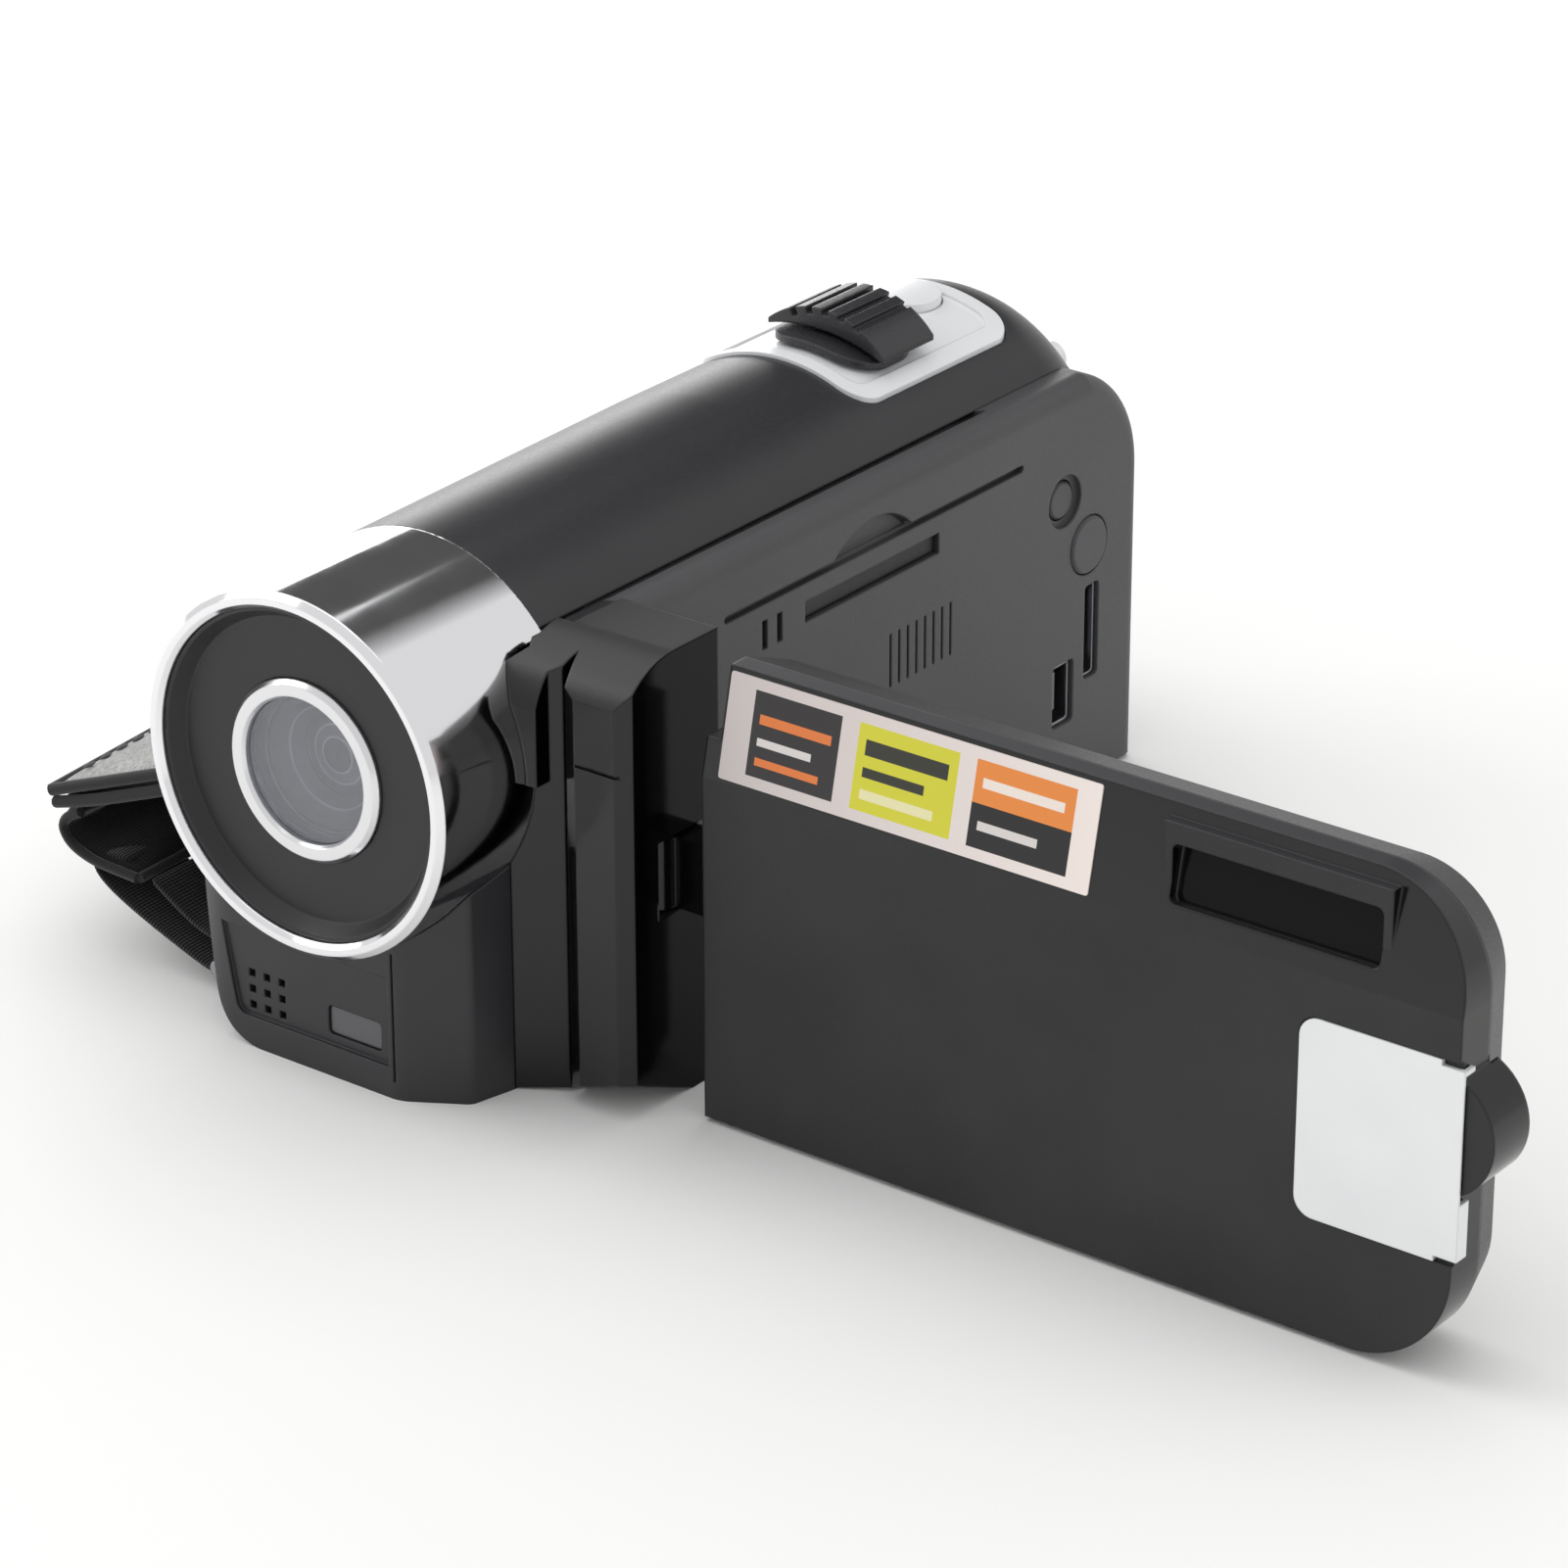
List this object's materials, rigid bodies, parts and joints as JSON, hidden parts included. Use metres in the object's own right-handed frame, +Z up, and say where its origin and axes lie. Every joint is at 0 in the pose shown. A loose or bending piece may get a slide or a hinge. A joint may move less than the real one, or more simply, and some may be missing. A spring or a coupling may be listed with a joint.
{
  "type": "camcorder",
  "caption": "Palm-size camcorder with a chromed lens sleeve, rounded hood, hand strap and a screen panel that folds out on a two-way hinge.",
  "frame": {"origin": "centre of the mouth of the tripod socket, in the flat base", "axes": "+Z up out of the base, the lens looks along -Y, the screen is hinged on the +X side and the hand strap is on the -X side"},
  "size_m": [0.1796, 0.1246, 0.0614],
  "materials": {
    "charcoal_housing": "satin moulded plastic",
    "chrome_trim": "bright plated",
    "silver_plastic": "silver painted plastic",
    "black_plastic": "satin black",
    "clear_glass": "coated lens glass",
    "lamp_window": "clear window",
    "screen_window": "glossy black window",
    "screen_module": "smooth",
    "circuit_board": "solder mask",
    "steel": "plain",
    "brass_contacts": "plated",
    "battery_case": "satin",
    "printed_label": "printed film",
    "strap_fabric": "padded cloth",
    "strap_webbing": "woven"
  },
  "bodies": {
    "body": {"battery_contacts": "brass_contacts", "battery_pack": "battery_case", "body_screws": "steel", "card_socket": "black_plastic", "front_cover": "charcoal_housing", "front_glass": "clear_glass", "hdmi_connector": "black_plastic", "hinge_pin": "steel", "image_sensor": "screen_module", "inner_lens": "clear_glass", "lamp_board": "circuit_board", "left_shell": "charcoal_housing", "lens_barrel": "black_plastic", "lens_face_ring": "black_plastic", "lens_sleeve": "chrome_trim", "lens_trim_ring": "silver_plastic", "light_window": "lamp_window", "main_board": "circuit_board", "microphone": "black_plastic", "rear_board": "circuit_board", "rear_cap": "silver_plastic", "rear_lens": "clear_glass", "rear_panel": "charcoal_housing", "record_ring": "charcoal_housing", "right_shell": "charcoal_housing", "sensor_board": "circuit_board", "side_board": "circuit_board", "side_switches": "black_plastic", "speaker": "black_plastic", "status_lens": "lamp_window", "strap_lug_front": "steel", "strap_lug_rear": "steel", "strap_pad": "strap_fabric", "strap_webbing_front": "strap_webbing", "strap_webbing_rear": "strap_webbing", "top_board": "circuit_board", "top_hood": "charcoal_housing", "top_switches": "black_plastic", "tripod_nut": "steel", "usb_connector": "black_plastic", "zoom_plate": "silver_plastic"},
    "hinge": {"hinge_turret": "black_plastic", "swivel_shaft": "steel", "shaft_clip": "steel"},
    "screen": {"lcd_outer_cover": "charcoal_housing", "lcd_inner_bezel": "black_plastic", "lcd_module": "screen_module", "lcd_window": "screen_window", "badge_plate": "silver_plastic", "label_sticker": "printed_label", "panel_screws": "steel", "swivel_bracket": "steel"},
    "zoom_lever": {"zoom_lever": "black_plastic"},
    "shutter_button": {"shutter_button": "silver_plastic"},
    "mode_button": {"mode_button": "charcoal_housing"},
    "playback_button": {"playback_button": "charcoal_housing"},
    "record_button": {"record_button": "silver_plastic"},
    "power_button": {"power_button": "charcoal_housing"},
    "memory_card": {"memory_card": "black_plastic"},
    "battery_door": {"battery_door": "charcoal_housing"}
  },
  "joints": [
    {"name": "lcd_open", "type": "hinge", "parent": "body", "child": "hinge", "pos_m": [0.0301, -0.0376, 0.0261], "axis": [0, 0, 1], "range_deg": [0, 90]},
    {"name": "lcd_swivel", "type": "hinge", "parent": "hinge", "child": "screen", "pos_m": [0.0382, -0.0349, 0.0261], "axis": [1, 0, 0], "range_deg": [-90, 180]},
    {"name": "zoom_rock", "type": "hinge", "parent": "body", "child": "zoom_lever", "pos_m": [0, 0.0335, 0.036], "axis": [0, 1, 0], "range_deg": [-7, 7], "stiffness_Nm_per_rad": 0.3},
    {"name": "shutter_press", "type": "slide", "parent": "body", "child": "shutter_button", "axis": [0, 0, -1], "range_m": [0, 0.0008], "stiffness_N_per_m": 600, "springref_m": -0.0004},
    {"name": "mode_press", "type": "slide", "parent": "body", "child": "mode_button", "axis": [-1, 0, 0], "range_m": [0, 0.0008], "stiffness_N_per_m": 600, "springref_m": -0.0004},
    {"name": "playback_press", "type": "slide", "parent": "body", "child": "playback_button", "axis": [-1, 0, 0], "range_m": [0, 0.0008], "stiffness_N_per_m": 600, "springref_m": -0.0004},
    {"name": "record_press", "type": "slide", "parent": "body", "child": "record_button", "axis": [0, -1, 0], "range_m": [0, 0.0008], "stiffness_N_per_m": 600, "springref_m": -0.0004},
    {"name": "power_press", "type": "slide", "parent": "body", "child": "power_button", "axis": [0, -1, 0], "range_m": [0, 0.0008], "stiffness_N_per_m": 600, "springref_m": -0.0004},
    {"name": "card_slide", "type": "slide", "parent": "body", "child": "memory_card", "axis": [-1, 0, 0], "range_m": [-0.004, 0.0008]},
    {"name": "battery_door_slide", "type": "slide", "parent": "body", "child": "battery_door", "axis": [0, 1, 0], "range_m": [0, 0.006]}
  ]
}
